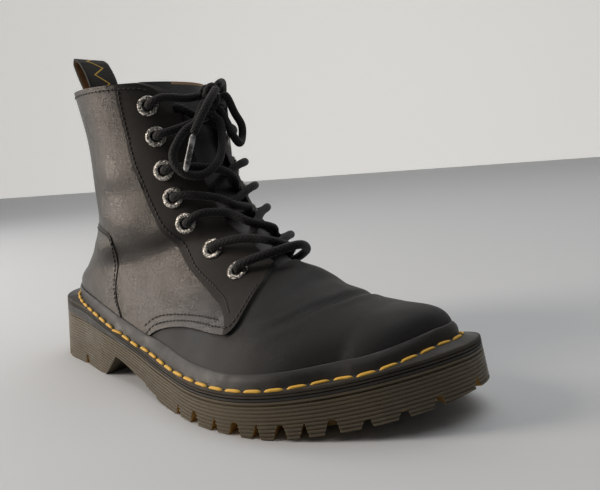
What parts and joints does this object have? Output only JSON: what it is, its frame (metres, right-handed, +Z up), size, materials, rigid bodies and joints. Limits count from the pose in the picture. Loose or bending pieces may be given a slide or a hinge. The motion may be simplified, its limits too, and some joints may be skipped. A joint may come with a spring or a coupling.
{
  "type": "combat boot",
  "caption": "Right ankle-high leather combat boot, hollow, laced up the front and tied in a bow, on a stitched welt and a ribbed, lugged rubber sole.",
  "frame": {"origin": "middle of the sole's bounding rectangle on the floor", "axes": "+X to the toe, +Y to the inner side of the foot, +Z up"},
  "size_m": [0.2882, 0.1094, 0.1955],
  "materials": {
    "leather": "waxed, soft sheen",
    "rubber": "satin",
    "gum": "satin, slightly translucent",
    "lining": "matte",
    "webbing": "woven",
    "cord": "braided, waxed",
    "metal": "antique silver",
    "tip": "glossy"
  },
  "bodies": {
    "root": {"outsole": "gum", "midsole": "rubber", "welt": "rubber", "insole": "lining", "upper": "leather", "tongue": "leather", "pull_loop": "webbing", "eyelet_outer_1": "metal", "eyelet_inner_1": "metal", "eyelet_outer_2": "metal", "eyelet_inner_2": "metal", "eyelet_outer_3": "metal", "eyelet_inner_3": "metal", "eyelet_outer_4": "metal", "eyelet_inner_4": "metal", "eyelet_outer_5": "metal", "eyelet_inner_5": "metal", "eyelet_outer_6": "metal", "eyelet_inner_6": "metal", "eyelet_outer_7": "metal", "eyelet_inner_7": "metal", "lace_crossing_2": "cord", "lace_crossing_3": "cord", "lace_crossing_4": "cord", "lace_crossing_5": "cord", "lace_crossing_6": "cord", "lace_bar_bottom": "cord", "lace_bar_outer": "cord", "lace_bar_inner": "cord", "lace_knot": "cord", "lace_loop_front": "cord", "lace_loop_back": "cord", "lace_end_outer": "cord", "lace_end_inner": "cord", "aglet_outer": "tip", "aglet_inner": "tip"}
  },
  "joints": []
}
